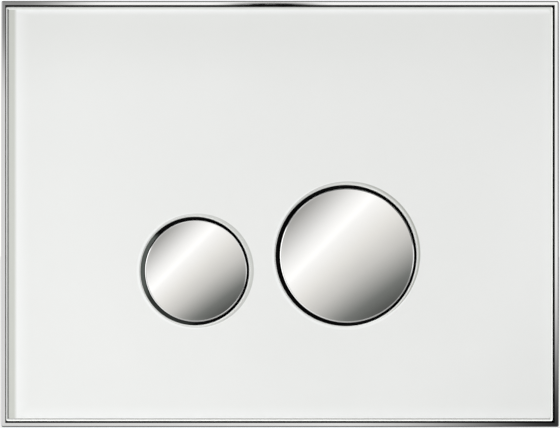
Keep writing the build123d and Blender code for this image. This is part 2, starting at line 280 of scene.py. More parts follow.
def rim_finish():
    material, tree, shader, place = polished_chrome("rim_chrome")
    across = axes(tree, place)
    # Painted shade: everything inside the rim's inner wall turns dark and stops being metal.
    painted_shade = 1.0
    for axis, inner in RIM_INNER.items():
        inside = calculate(tree, "LESS_THAN", calculate(tree, "ABSOLUTE", across[axis]), inner)
        painted_shade = calculate(tree, "MULTIPLY", painted_shade, inside)
    bright = shader.inputs["Base Color"].links[0].from_socket
    wiped = shader.inputs["Roughness"].links[0].from_socket
    rougher = calculate(tree, "ADD", wiped, calculate(tree, "MULTIPLY", painted_shade, SHADE_ROUGH))
    feed(tree, shader, Base_Color=blend_colours(tree, painted_shade, bright, SHADE_BLACK),
         Metallic=calculate(tree, "SUBTRACT", 1.0, painted_shade), Roughness=rougher)
    return material


rim_chrome = rim_finish()
print("finish:", rim_chrome.name, "bare inside", {axis: round(v / MM, 2) for axis, v in RIM_INNER.items()})

# %% [markdown]
# The white of the panel is lacquer on the back of clear glass. Light that falls in at the edges and at
# the two holes draws soft borders on that lacquer: the rim's shadow along the left side, a grey crescent
# to the right of each hole, a dimmer tone below the top, and a brighter one along the borders themselves.
# Tracing light through six millimetres of glass is slow and grainy, so the borders are worked out from
# the piece's own coordinates. First, where the holes are.

# %% Where the glass and its holes are
glass_low, glass_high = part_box("glass_panel")
FRONT = glass_low.y
GLASS_BACK = glass_high.y
GLASS_AT = (glass_low + glass_high) / 2
GLASS_HALF = (glass_high - glass_low) / 2
caps = {key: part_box(key + "_key_cap") for key in KEYS}
CENTRE = {key: (caps[key][0] + caps[key][1]) / 2 for key in KEYS}
CAP_R = {key: (caps[key][1].x - caps[key][0].x) / 2 for key in KEYS}
KEY_GAP = 1.3 * MM
KEY_SHIFT = 0.4 * MM
HOLE_R = {key: CAP_R[key] + KEY_GAP for key in KEYS}
HOLE_AT = {key: Vector((CENTRE[key].x - KEY_SHIFT, FRONT, CENTRE[key].z)) for key in KEYS}
print("holes in mm:", {key: round(HOLE_R[key] / MM, 2) for key in KEYS})

# %% [markdown]
# Two helpers measure such borders: how far a point lies inside each of the panel's sides, and how far it
# lies from a hole's centre. The brighter border is then the strongest of six soft shares: one for each
# side of the panel and one for each hole, each with its own reach.

# %% White glass: the bright borders
GLOW_TONE = (0.93, 0.945, 0.945, 1)
# Left, right, top and bottom: whole up to, gone at, both in mm, and how strong.
SIDE_GLOW = [(2.5, 10.0, 0.44), (0.5, 6.0, 0.16), (1.2, 3.5, 0.70), (1.5, 7.0, 0.32)]
HOLE_GLOW = (1.35, 1.65, 0.4)


def from_sides(tree, place):
    """How far a point lies inside the panel's left, right, top and bottom, in metres."""
    across = axes(tree, place)
    left = calculate(tree, "SUBTRACT", across["X"], glass_low.x)
    right = calculate(tree, "SUBTRACT", glass_high.x, across["X"])
    top = calculate(tree, "SUBTRACT", glass_high.z, across["Z"])
    bottom = calculate(tree, "SUBTRACT", across["Z"], glass_low.z)
    return left, right, top, bottom


def away_from(tree, place, centre, reach=(1, 1, 1)):
    """The distance of a point from a centre, in metres, or in reaches along X, Y and Z."""
    kind = "ShaderNodeVectorMath"
    offset = add_node(tree, kind, {"operation": "SUBTRACT"}, i0=place, i1=centre).outputs[0]
    scaled = add_node(tree, kind, {"operation": "DIVIDE"}, i0=offset, i1=reach).outputs[0]
    return add_node(tree, kind, {"operation": "LENGTH"}, i0=scaled).outputs["Value"]


def glass_glow(tree, place):
    """The brighter border along the sides and round the holes."""
    borders = list(zip(from_sides(tree, place), SIDE_GLOW))
    for key in KEYS:
        from_hole = calculate(tree, "SUBTRACT", away_from(tree, place, HOLE_AT[key]), HOLE_R[key])
        borders.append((from_hole, HOLE_GLOW))
    glow = 0.0
    for distance, (whole, gone, most) in borders:
        glow = calculate(tree, "MAXIMUM", glow, soft_share(tree, distance, whole * MM, gone * MM, most))
    return glow


print("bright borders:", len(SIDE_GLOW) + len(KEYS))

# %% [markdown]
# A crescent is what a circle, shifted to the right and up, leaves beside the hole. It is pale at the
# hole, where light falls in, darkest just inside its outer border, and weaker on its left half.

# %% White glass: the crescents
# The crescent's dark tone is a painted shadow, lightest next to the hole.
CRESCENT_TONE = (0.37, 0.38, 0.345, 1)
# The circle's shift and how far it reaches past the hole, in mm, then its strength in all and at the hole.
CRESCENT = {
    "half_flush": ((0.7, 0, 0.2), 0.95, 0.64, 0.8),
    "full_flush": ((0.6, 0, 0.6), 0.65, 0.95, 0.4),
}
CRESCENT_FADE = 0.3 * MM
PALE_INSIDE = 0.9 * MM
DARK_INSIDE = 0.2 * MM
LEFT_STRENGTH = 0.6
FULL_FROM = 0.6


def crescent_share(tree, place, key):
    """A crescent beside a hole: palest at the hole, darkest at its outer border and to the right."""
    shift, reach, most, at_hole = CRESCENT[key]
    edge = HOLE_R[key] + reach * MM
    away = away_from(tree, place, HOLE_AT[key] + Vector(shift) * MM)
    outside = soft_share(tree, away, edge, edge + CRESCENT_FADE, most)
    inwards = ramp(tree, away, edge - PALE_INSIDE, edge - DARK_INSIDE, at_hole)
    middle = HOLE_AT[key].x
    turning = ramp(tree, axes(tree, place)["X"], middle, middle + FULL_FROM * HOLE_R[key], LEFT_STRENGTH)
    return calculate(tree, "MULTIPLY", outside, calculate(tree, "MULTIPLY", inwards, turning))


print("crescents:", list(CRESCENT))

# %% [markdown]
# The face itself is an opaque white under a hard gloss, with the refractive index of glass and almost no
# roughness. Its tone is cloudy by a hair. The dim top, the bright borders, the shadow at the left and the
# crescents are blended in, one after another.

# %% Finish: white glass
GLASS_IOR = 1.52
WHITE_TONES = ((0.79, 0.799, 0.785), (0.807, 0.814, 0.801))
WHITE_SCALE = 14.0
WHITE_ROUGH = (0.02, 0.06)
ROUGH_SCALE = 90.0
SHADE_TONE = (0.575, 0.588, 0.548, 1)
TOP_SHADE = (4 * MM, 38 * MM, 0.15)
LEFT_SHADE = (2.9 * MM, 4.5 * MM)


def white_face():
    material, tree, shader, place = start_finish("white_glass_face", IOR=GLASS_IOR)
    left, _, top, _ = from_sides(tree, place)
    colour = uneven(tree, place, WHITE_SCALE, tones=WHITE_TONES)["Color"]
    colour = blend_colours(tree, soft_share(tree, top, *TOP_SHADE), colour, SHADE_TONE)
    colour = blend_colours(tree, glass_glow(tree, place), colour, GLOW_TONE)
    colour = blend_colours(tree, soft_share(tree, left, *LEFT_SHADE), colour, SHADE_TONE)
    for key in KEYS:
        colour = blend_colours(tree, crescent_share(tree, place, key), colour, CRESCENT_TONE)
    wiped = uneven(tree, place, ROUGH_SCALE, WHITE_ROUGH)
    feed(tree, shader, Base_Color=colour, Roughness=wiped["Value"])
    return material


glass_face = white_face()
print("finish:", glass_face.name)

# %% [markdown]
# The edge of the panel is ground to a narrow arris, with a hair-fine line where it meets the face. Both
# show the glass itself, and each side of the panel gets another tone of painted light and shade: white
# where light falls on the arris, darker where it lies in shade. Two materials need that choice, so it is a
# node group: it finds the nearest side from the coordinates and puts out that side's colour.

# %% Shared group: tone by side
SIDES = ("Left", "Right", "Top", "Bottom")


def build_side_tones():
    takes = {"Vector": "Vector", **{side: "Color" for side in SIDES}}
    group, given = start_group("tone_by_side", takes, {"Color": "Color"})
    left, right, top, bottom = from_sides(group, given["Vector"])
    to_upright = calculate(group, "MINIMUM", left, right)
    to_level = calculate(group, "MINIMUM", top, bottom)
    at_right = calculate(group, "LESS_THAN", right, left)
    at_top = calculate(group, "LESS_THAN", top, bottom)
    upright = blend_colours(group, at_right, given["Left"], given["Right"])
    level = blend_colours(group, at_top, given["Bottom"], given["Top"])
    beside = calculate(group, "LESS_THAN", to_upright, to_level)
    add_node(group, "NodeGroupOutput", Color=blend_colours(group, beside, level, upright))
    return group


side_group = build_side_tones()
print("group:", side_group.name, "sides:", SIDES)

# %% [markdown]
# The line and the outer arris place that group twice: once with their four tones of painted light and
# shade, and once with a painted glow, which the finish gives off itself, for the light that has travelled
# inside the pane and leaves it at that side.

# %% Finishes: grinding line and outer arris
GRIND_SCALE = 300.0
GLASS_TINT = (0.985, 1.0, 0.97)


def glass_grey(level):
    """A grey with the green of thick glass."""
    return (*(part * level for part in GLASS_TINT), 1)


def ground_rough(tree, place, polish):
    """The roughness of a ground border: the polish and up to twice as much."""
    return uneven(tree, place, GRIND_SCALE, (polish, 2 * polish))["Value"]


def edge_tones(name, shaded_greys, painted_glow, polish):
    """A ground border of the panel: painted light and shade, and a painted glow, left, right, top and
    bottom.
    """
    material, tree, shader, place = start_finish(name, IOR=GLASS_IOR, Emission_Strength=1.0)
    for levels, socket in ((shaded_greys, "Base_Color"), (painted_glow, "Emission_Color")):
        tones = {side: glass_grey(level) for side, level in zip(SIDES, levels)}
        made = add_node(tree, "ShaderNodeGroup", {"node_tree": side_group}, Vector=place, **tones)
        feed(tree, shader, **{socket: made.outputs["Color"]})
    feed(tree, shader, Roughness=ground_rough(tree, place, polish))
    return material


# Painted light and shade per side, then a painted glow per side.
edge_line = edge_tones("grinding_line", (0.17, 0.78, 0.80, 0.48), (0.0, 0.0, 0.02, 0.0), 0.12)
edge_arris = edge_tones("panel_arris", (0.80, 0.95, 0.62, 0.96), (0.28, 0.10, 0.12, 0.52), 0.06)
print("finishes:", edge_line.name, edge_arris.name)

# %% [markdown]
# The arris of the holes runs from grey at the left of each hole to white at its right: painted shade at the
# left, painted light at the right. The upright walls are a very dark green glass, a painted shade that
# keeps the gaps beside the keys black. They are the first of several finishes with one recipe: a cloudy
# colour, a roughness that varies with it and, on mouldings, a grain as a bump.

# %% Finishes: hole arris and glass walls
WALL_SHADE_TONES = ((0.010, 0.016, 0.013), (0.022, 0.032, 0.027))
WHITE_FROM = 0.5


def hole_tones(name, shaded_grey, lit_grey, polish):
    """The ground border of both holes, its grey running from painted shade at their left to painted light
    at their right.
    """
    material, tree, shader, place = start_finish(name, IOR=GLASS_IOR)
    x = axes(tree, place)["X"]
    small, large = (HOLE_AT[key].x for key in KEYS)
    reach = HOLE_R["half_flush"]
    between = (small + reach + large - HOLE_R["full_flush"]) / 2
    at_large = calculate(tree, "GREATER_THAN", x, between)
    centre = calculate(tree, "ADD", small, calculate(tree, "MULTIPLY", at_large, large - small))
    share = ramp(tree, calculate(tree, "SUBTRACT", x, centre), -reach, WHITE_FROM * reach)
    colour = blend_colours(tree, share, glass_grey(shaded_grey), glass_grey(lit_grey))
    feed(tree, shader, Base_Color=colour, Roughness=ground_rough(tree, place, polish))
    return material


def cloudy(name, scale, rough, tones, grain=None, **constants):
    """A cloudy colour with a roughness that varies with it, and a grain if there is one."""
    material, tree, shader, place = start_finish(name, **constants)
    tone = uneven(tree, place, scale, rough, tones)
    feed(tree, shader, Base_Color=tone["Color"], Roughness=tone["Value"])
    if grain:
        feed(tree, shader, Normal=grain_bump(tree, place, *grain))
    return material


# The hole arris carries painted shade and light; the walls' near-black green is painted shade.
hole_arris = hole_tones("hole_arris", 0.52, 0.98, 0.05)
shaded_glass_wall = cloudy("green_glass_wall", GRIND_SCALE, (0.12, 0.24), WALL_SHADE_TONES, IOR=GLASS_IOR)
GLASS_FINISHES = [glass_face, edge_line, edge_arris, hole_arris, shaded_glass_wall]
print("glass finishes:", [finish.name for finish in GLASS_FINISHES])

# %% [markdown]
# Behind the glass are three plastics, zinc plated steel and foam tape, all from that recipe. A grain is a
# scale, the strength of its bump and its depth. The black plastic is duller than the others, so that it
# stays black.

# %% Finishes: mouldings, steel and foam
CLOUD_SCALE = 45.0
MOULD_BUMP = 0.35
FINISH = {
    "black_plastic": cloudy("black_moulding", CLOUD_SCALE, (0.62, 0.74),
                            ((0.006, 0.006, 0.0065), (0.013, 0.013, 0.0135)),
                            (2600.0, MOULD_BUMP, 0.08 * MM), IOR=1.5, Specular_IOR_Level=0.2),
    "grey_plastic": cloudy("grey_moulding", CLOUD_SCALE, (0.40, 0.52),
                           ((0.208, 0.218, 0.228), (0.226, 0.236, 0.246)),
                           (2200.0, MOULD_BUMP, 0.08 * MM), IOR=1.5),
    "white_plastic": cloudy("white_moulding", CLOUD_SCALE, (0.30, 0.42),
                            ((0.74, 0.74, 0.71), (0.82, 0.82, 0.80)),
                            (3000.0, MOULD_BUMP, 0.05 * MM), IOR=1.5),
    "steel": cloudy("zinc_steel", 260.0, (0.24, 0.4), ((0.50, 0.51, 0.52), (0.66, 0.66, 0.64)),
                    (1800.0, 0.15, 0.05 * MM), Metallic=1.0),
    "foam": cloudy("foam_tape", 900.0, (0.8, 0.95), ((0.012, 0.012, 0.013), (0.032, 0.032, 0.034)),
                   (1500.0, 0.8, 0.2 * MM), IOR=1.45),
    "chrome": rim_chrome,
}
print("finishes:", [finish.name for finish in FINISH.values()])

# %% [markdown]
# In the gap beside the small key one sees the rim of its well in the black carrier. Some light falls on
# it through the glass: a grey along the left, weaker below, and none at the top or to the right. That
# light would have to pass the glass, which is opaque here, so the black finish gives it off itself, on
# that rim alone.

# %% Light in the small key's gap
GAP_LIGHT = (0.088, 0.099, 0.090, 1)
# The next four are in cap radii from the key's centre.
GAP_TURN = 0.25
STRONG_LEFT = (0.70, 0.95)
WEAK_LEFT = (0.0, 0.2, 0.0, 0.3)
DARK_TOP = (0.62, 0.76)
RIM_DEPTH = (GLASS_BACK + 0.3 * MM, GLASS_BACK + 1.5 * MM)
RIM_REACH = (0.6 * MM, 1.0 * MM)


def light_in_gap(material, key):
    """A dim light on the left of a well's rim, seen in the gap beside its key."""
    tree = material.node_tree
    shader = tree.nodes["Principled BSDF"]
    place = tree.nodes["Texture Coordinate"].outputs["Object"]
    shader.inputs["Emission Strength"].default_value = 1.0
    middle = Vector((CENTRE[key].x, GLASS_BACK, CENTRE[key].z))
    across = axes(tree, place)
    left = calculate(tree, "DIVIDE", calculate(tree, "SUBTRACT", middle.x, across["X"]), CAP_R[key])
    up = calculate(tree, "DIVIDE", calculate(tree, "SUBTRACT", across["Z"], middle.z), CAP_R[key])
    turned = calculate(tree, "ADD", left, calculate(tree, "MULTIPLY", up, GAP_TURN))
    share = calculate(tree, "MAXIMUM", ramp(tree, turned, *STRONG_LEFT), ramp(tree, left, *WEAK_LEFT))
    from_hole = calculate(tree, "SUBTRACT", away_from(tree, place, middle), HOLE_R[key])
    for value, limits in ((up, DARK_TOP), (across["Y"], RIM_DEPTH), (from_hole, RIM_REACH)):
        share = calculate(tree, "MULTIPLY", share, soft_share(tree, value, *limits))
    feed(tree, shader, Emission_Color=blend_colours(tree, share, (0, 0, 0, 1), GAP_LIGHT))
    return material


print("light in the gap:", light_in_gap(FINISH["black_plastic"], "half_flush").name)

# %% [markdown]
# Every new piece ends the same way: its doubles are merged, its faces are turned outwards, edges sharper
# than a limit are marked so that smooth shading stops there, the piece is attached to the body it rides on,
# and the CAD node it stands for is hidden. One helper does that, so no piece can miss a step.

# %% Helper: turn a bmesh into a piece
MERGE = 1e-6


def add_object(name, bm, materials):
    """Turn a bmesh into an object of the scene."""
    mesh = bpy.data.meshes.new(name)
    bm.to_mesh(mesh)
    bm.free()
    for material in materials:
        mesh.materials.append(material)
    made = bpy.data.objects.new(name, mesh)
    scene.collection.objects.link(made)
    return made


def finish_piece(name, bm, node, materials, sharp=32.0):
    """Make the object, ride it on the node's body and let it stand for the node."""
    bmesh.ops.remove_doubles(bm, verts=bm.verts, dist=MERGE)
    bmesh.ops.recalc_face_normals(bm, faces=bm.faces)
    for face in bm.faces:
        face.smooth = True
    for edge in bm.edges:
        edge.smooth = len(edge.link_faces) == 2 and edge.calc_face_angle() < radians(sharp)
    piece = add_object(name, bm, materials)
    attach(piece, BODY_OF[node])
    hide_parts(node)
    print("piece:", name, "faces", len(piece.data.polygons))
    return piece


print("nodes to dress:", len(SLOT_OF))

# %% [markdown]
# The glass panel could be a slab with two boolean cuts, but then its ground edges would need cutting too.
# It is simpler to draw its borders: a rectangle with rounded corners and two circles. Filling between
# them gives the front face with both holes. Then every border is extruded step by step, backwards. The
# steps are a moulding's profile, a list of widths, depths and finishes.

# %% Glass: borders and front face
# Places in the list of glass finishes; the front face keeps the first of them, 0.
LINE, ARRIS, HOLE_ARRIS, WALL = range(1, 5)
EDGE_STEPS = [(0.6, 0.01, LINE), (0.5, 0.49, ARRIS)]
HOLE_STEPS = [(0.08, 0.02, HOLE_ARRIS), (0.42, 0.38, HOLE_ARRIS)]
EDGE_WIDTH = sum(step[0] for step in EDGE_STEPS) * MM
HOLE_WIDTH = sum(step[0] for step in HOLE_STEPS) * MM
CORNER_ROUND = 0.6 * MM
HOLE_SEGMENTS = 160


def stand_at(bm, verts, spot):
    """Turn flat vertices upright, so that they face along Y, and move them to a spot."""
    bmesh.ops.rotate(bm, cent=(0, 0, 0), matrix=Matrix.Rotation(pi / 2, 3, "X"), verts=verts)
    bmesh.ops.translate(bm, vec=spot, verts=verts)


def glass_borders(bm):
    """The panel's outline and its two circles, on the front plane."""
    sheet = bmesh.ops.create_grid(bm, x_segments=1, y_segments=1, size=1.0)["verts"]
    bmesh.ops.scale(bm, vec=(GLASS_HALF.x - EDGE_WIDTH, GLASS_HALF.z - EDGE_WIDTH, 1), verts=sheet)
    stand_at(bm, sheet, (GLASS_AT.x, FRONT, GLASS_AT.z))
    bmesh.ops.bevel(bm, geom=sheet, offset=CORNER_ROUND, segments=4, profile=0.5,
                    affect="VERTICES", material=-1)
    bmesh.ops.delete(bm, geom=bm.faces[:], context="FACES_ONLY")
    outline = bm.edges[:]
    circles = {}
    for key in KEYS:
        rim = bmesh.ops.create_circle(bm, segments=HOLE_SEGMENTS, radius=HOLE_R[key] + HOLE_WIDTH)["verts"]
        stand_at(bm, rim, HOLE_AT[key])
        circles[key] = list({e for v in rim for e in v.link_edges})
    bmesh.ops.triangle_fill(bm, use_beauty=True, edges=bm.edges[:])
    return outline, circles


glass_bm = bmesh.new()
outline_edges, circle_edges = glass_borders(glass_bm)
print("glass front:", len(glass_bm.faces), "triangles; edge", EDGE_WIDTH / MM, "mm, hole ring",
      HOLE_WIDTH / MM, "mm")

# %% [markdown]
# An extruded border is a ring of new faces. Scaling the new vertices about the border's own centre sets
# how wide the ring is, and moving them along Y sets how deep it is. Each ring takes the finish of its
# step.

# %% Glass: edges, rings and walls
def new_verts(result):
    """The vertices that an extrude, spin or duplicate gave back."""
    geometry = result.get("geom") or result.get("geom_last") or result.get("verts")
    return [v for v in geometry if isinstance(v, bmesh.types.BMVert)]


def step_back(bm, edges, centre, factor_x, factor_z, depth, finish):
    """Extrude a border, scale it about its centre and push it back. Gives the new border."""
    before = set(bm.faces)
    grown = bmesh.ops.extrude_edge_only(bm, edges=edges)
    verts = new_verts(grown)
    to_centre = Matrix.Translation(-Vector((centre.x, 0, centre.z)))
    bmesh.ops.scale(bm, vec=(factor_x, 1, factor_z), space=to_centre, verts=verts)
    bmesh.ops.translate(bm, vec=(0, depth, 0), verts=verts)
    for face in set(bm.faces) - before:
        face.material_index = finish
    moved = set(verts)
    return [e for e in grown["geom"] if isinstance(e, bmesh.types.BMEdge) and set(e.verts) <= moved]


def wall_back(bm, ring, centre):
    """Extrude a border straight back to the rear of the glass."""
    return step_back(bm, ring, centre, 1, 1, GLASS_BACK - ring[0].verts[0].co.y, WALL)


def grow_glass_edges(bm):
    ring = outline_edges
    half_x, half_z = GLASS_HALF.x - EDGE_WIDTH, GLASS_HALF.z - EDGE_WIDTH
    for width, depth, finish in EDGE_STEPS:
        wide = width * MM
        ring = step_back(bm, ring, GLASS_AT, 1 + wide / half_x, 1 + wide / half_z, depth * MM, finish)
        half_x, half_z = half_x + wide, half_z + wide
    last = wall_back(bm, ring, GLASS_AT)
    for key in KEYS:
        ring = circle_edges[key]
        r = HOLE_R[key] + HOLE_WIDTH
        for width, depth, finish in HOLE_STEPS:
            share = (r - width * MM) / r
            ring = step_back(bm, ring, HOLE_AT[key], share, share, depth * MM, finish)
            r = r * share
        last += wall_back(bm, ring, HOLE_AT[key])
    bmesh.ops.triangle_fill(bm, use_beauty=True, edges=last)


grow_glass_edges(glass_bm)
print("glass with edges:", len(glass_bm.faces), "faces")

# %% [markdown]
# Smooth shading blends the normals of neighbouring faces. On a large flat face next to narrow rings that
# would bend the reflections all over the face, so a Weighted Normal modifier lets the larger face decide.

# %% Glass: finish
def even_shading(piece):
    """Let large faces keep their own normals."""
    weighted = piece.modifiers.new("even_shading", "WEIGHTED_NORMAL")
    weighted.keep_sharp = True
    weighted.weight = 100
    return piece


glass = even_shading(finish_piece("white_glass_panel", glass_bm, "glass_panel", GLASS_FINISHES, sharp=30.0))
print("shading:", [m.type for m in glass.modifiers])

# %% [markdown]
# A key is a thin chromed cup with a slightly crowned face. The crown is part of a large ball, and the
# long soft streak of light across it depends on that curve being exact. So it is not scaled or guessed:
# one vertex at the top is spun about the ball's centre to draw the crown, with one very short last step
# that keeps the crown's shading clear of the edge. It is drawn on for the narrow bevel that shines as a
# white line, spun about a small circle to turn the corner, and drawn down for the skirt. Spinning that
# line once round the key's axis gives the cup. A key also has a little play in its guide and never sits
# quite square, so each cap leans by up to half a degree about the plate's diagonal.

# %% Keys: drawing and turning helpers
def draw_to(bm, vert, offset):
    """Draw an edge from a vertex and give back its far end."""
    end = new_verts(bmesh.ops.extrude_vert_indiv(bm, verts=[vert]))[0]
    bmesh.ops.translate(bm, vec=offset, verts=[end])
    return end


def arc_from(bm, vert, centre, angle, steps):
    """Draw an arc from a vertex about a centre, in the drawing's plane, and give back its far end."""
    drawn = bmesh.ops.spin(bm, geom=[vert], cent=centre, axis=(0, 0, 1), angle=angle, steps=steps)
    return new_verts(drawn)[0]


def once_round(bm, drawn, steps):
    """Spin a drawn line once round the Y axis, as on a lathe."""
    bmesh.ops.spin(bm, geom=drawn, cent=(0, 0, 0), axis=(0, 1, 0), angle=2 * pi, steps=steps,
                   use_merge=True)


print("drawing helpers ready for", len(KEYS), "keys")

# %% [markdown]
# The numbers of the cap: how high its crown rises as a share of its radius, the bevel's width and slope,
# the corner's radius, the wall and the lean, in radians.

# %% Keys: chromed caps
CROWN_RISE = 0.035
CROWN_STEPS = ((0.996, 20), (0.004, 1))
BEVEL = 0.36 * MM
BEVEL_ANGLE = radians(28)
CORNER_R = 0.12 * MM
CORNER_STEPS = 4
CAP_WALL = 1.2 * MM
CAP_SEGMENTS = 144
LEAN = {"half_flush": 0.0010, "full_flush": -0.0080}


def key_cap(key):
    low, high = caps[key]
    r = CAP_R[key]
    sag = CROWN_RISE * r
    ball = (r * r + sag * sag) / (2 * sag)
    bend = CORNER_R * (1 - sin(BEVEL_ANGLE))
    tilt = asin((r - bend - BEVEL) / ball)
    bm = bmesh.new()
    end = bm.verts.new((0, low.y, 0))
    for share, steps in CROWN_STEPS:
        end = arc_from(bm, end, (0, low.y + ball, 0), tilt * share, steps)
    end = draw_to(bm, end, (BEVEL, BEVEL * tan(BEVEL_ANGLE), 0))
    turn = end.co + CORNER_R * Vector((-sin(BEVEL_ANGLE), cos(BEVEL_ANGLE), 0))
    end = arc_from(bm, end, turn, pi / 2 - BEVEL_ANGLE, CORNER_STEPS)
    end = draw_to(bm, end, (0, high.y - end.co.y, 0))
    end = draw_to(bm, end, (-CAP_WALL, 0, 0))
    end = draw_to(bm, end, (0, low.y + sag + CAP_WALL - high.y, 0))
    draw_to(bm, end, (-end.co.x, 0, 0))
    once_round(bm, bm.verts[:] + bm.edges[:], CAP_SEGMENTS)
    lean = Matrix.Rotation(LEAN[key], 3, Vector((1, 0, 1)))
    bmesh.ops.rotate(bm, cent=(0, low.y + sag, 0), matrix=lean, verts=bm.verts[:])
    back = low.y - min(vert.co.y for vert in bm.verts)
    bmesh.ops.translate(bm, vec=(CENTRE[key].x, back, CENTRE[key].z), verts=bm.verts[:])
    return even_shading(finish_piece(key + "_chromed_cap", bm, key + "_key_cap", [key_chrome]))


for key in KEYS:
    key_cap(key)

# %% [markdown]
# The return springs are wound from round wire with one close coil at each end, so that they stand flat. A
# circle of eight points is the wire's section. Spinning it with a step along the axis winds a coil: a tight
# step for the end coils and a wide one for the working coils. When a key is pressed the spring shortens
# between the well's floor and the plunger; the share of its length that it then keeps is worked out and
# printed.

# %% Return springs
WIRE_R = 0.5 * MM
WIRE_SIDES = 8
COIL_STEPS = 28
CLOSE_PITCH = 1.04 * 2 * WIRE_R
WORKING_COILS = 3
TRAVEL = 6 * MM


def wind(bm, drawn, turns, pitch, steps):
    """Wind a drawn shape round the Y axis, one pitch a turn; gives the shape at its far end."""
    wound = bmesh.ops.spin(bm, geom=drawn, cent=(0, 0, 0), axis=(0, 1, 0), dvec=(0, pitch / steps, 0),
                           angle=turns * 2 * pi, steps=turns * steps)
    return wound["geom_last"]


def return_spring(key):
    node = key + "_return_spring"
    low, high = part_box(node)
    length = high.y - low.y
    bm = bmesh.new()
    ring = bmesh.ops.create_circle(bm, segments=WIRE_SIDES, radius=WIRE_R)["verts"]
    mean_r = (high.x - low.x) / 2 - WIRE_R
    bmesh.ops.translate(bm, vec=(mean_r, low.y + WIRE_R, 0), verts=ring)
    free = length - 2 * WIRE_R - 2 * CLOSE_PITCH
    section = bm.verts[:] + bm.edges[:]
    for turns, pitch in ((1, CLOSE_PITCH), (WORKING_COILS, free / WORKING_COILS), (1, CLOSE_PITCH)):
        section = wind(bm, section, turns, pitch, COIL_STEPS)
    bmesh.ops.holes_fill(bm, edges=[e for e in bm.edges if len(e.link_faces) == 1], sides=WIRE_SIDES)
    bmesh.ops.translate(bm, vec=((low.x + high.x) / 2, 0, (low.z + high.z) / 2), verts=bm.verts[:])
    spring = finish_piece(key + "_coil", bm, node, [FINISH["steel"]], sharp=60.0)
    left = (length - TRAVEL) / length
    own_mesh(spring)
    return left


for key in KEYS:
    print(key, "spring keeps", round(return_spring(key), 3), "of its length when pressed")

# %% [markdown]
# A screw thread is a small ridge wound round a core. Three vertices, valley, crest and valley, one pitch
# apart, are spun with a step of one pitch per turn. Each turn begins where the last one ended, so merging
# the doubles closes the thread into one skin. A face across each end, hidden in the core, makes it a
# solid sleeve.

# %% Helpers: threads and turned shanks
PITCH = 1.0 * MM
THREAD_STEPS = 20


def with_edges(verts):
    """Vertices together with the edges that they have."""
    return verts + list({e for v in verts for e in v.link_edges})


def cut_thread(bm, r_valley, r_crest, y_start, y_end):
    """Wind a thread along Y between two levels, and close its ends."""
    others = set(bm.verts)
    turns = int((y_end - y_start) / PITCH) - 1
    first = bm.verts.new((r_valley, y_start, 0))
    crest = draw_to(bm, first, (r_crest - r_valley, PITCH / 2, 0))
    last = draw_to(bm, crest, (r_valley - r_crest, PITCH / 2, 0))
    wind(bm, with_edges([first, crest, last]), turns, PITCH, THREAD_STEPS)
    bmesh.ops.remove_doubles(bm, verts=[v for v in bm.verts if v not in others], dist=MERGE)
    ends = [e for e in bm.edges if len(e.link_faces) == 1 and not others & set(e.verts)]
    bmesh.ops.holes_fill(bm, edges=ends, sides=0)


def turn_shape(bm, points, steps):
    """Turn a shank on a lathe: draw its outline from the axis and back, then spin it once round."""
    drawn = [bm.verts.new((points[0][0], points[0][1], 0))]
    for r, y in points[1:]:
        here = drawn[-1].co
        drawn.append(draw_to(bm, drawn[-1], (r - here.x, y - here.y, 0)))
    once_round(bm, with_edges(drawn), steps)


print("threads of pitch", PITCH / MM, "mm")

# %% [markdown]
# The push rods screw into the plungers, so that an installer can set their reach: a threaded end, then a
# plain shank with a rounded tip that bears on the flush valve's lever.

# %% Push rods
ROD_R = 3.0 * MM
ROD_CORE = 2.6 * MM
ROD_VALLEY = ROD_CORE - 0.02 * MM
ROD_CREST = ROD_R - 0.05 * MM
ROD_THREAD = 24 * MM
THREAD_START = 0.4 * MM
ROD_LEAD = 0.5 * MM
ROD_SHOULDER = 0.6 * MM
ROD_TIP = 0.8 * MM
TIP_CUT = 0.3 * ROD_TIP
ROD_SEGMENTS = 40


def push_rod(key):
    node = key + "_push_rod"
    low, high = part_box(node)
    thread_end = low.y + ROD_THREAD
    bm = bmesh.new()
    cut_thread(bm, ROD_VALLEY, ROD_CREST, low.y + THREAD_START, thread_end)
    outline = [(0, low.y), (ROD_CORE - ROD_LEAD, low.y), (ROD_CORE, low.y + ROD_LEAD)]
    outline += [(ROD_CORE, thread_end - ROD_SHOULDER), (ROD_R, thread_end), (ROD_R, high.y - ROD_TIP)]
    outline += [(ROD_R - TIP_CUT, high.y - TIP_CUT), (ROD_R - ROD_TIP, high.y), (0, high.y)]
    turn_shape(bm, outline, ROD_SEGMENTS)
    bmesh.ops.translate(bm, vec=(CENTRE[key].x, 0, CENTRE[key].z), verts=bm.verts[:])
    return finish_piece(key + "_threaded_rod", bm, node, [FINISH["white_plastic"]], sharp=50.0)


for key in KEYS:
    push_rod(key)

# %% [markdown]
# The fixing bolts run from the ears of the mounting frame into the cistern. Each is turned from one
# outline, a neck and a pointed end, and the thread is wound on it. The head is a disc with a rounded rim.
# Its slot is cut by pushing down the faces between two bisecting planes.

# %% Fixing bolts: slotted head
HEAD_R = 6.0 * MM
HEAD_H = 3.8 * MM
HEAD_SEGMENTS = 48
HEAD_ROUND = 1.0 * MM
SLOT_HALF = 0.7 * MM
SLOT_DEPTH = 1.7 * MM
FACES_FRONT = -0.2


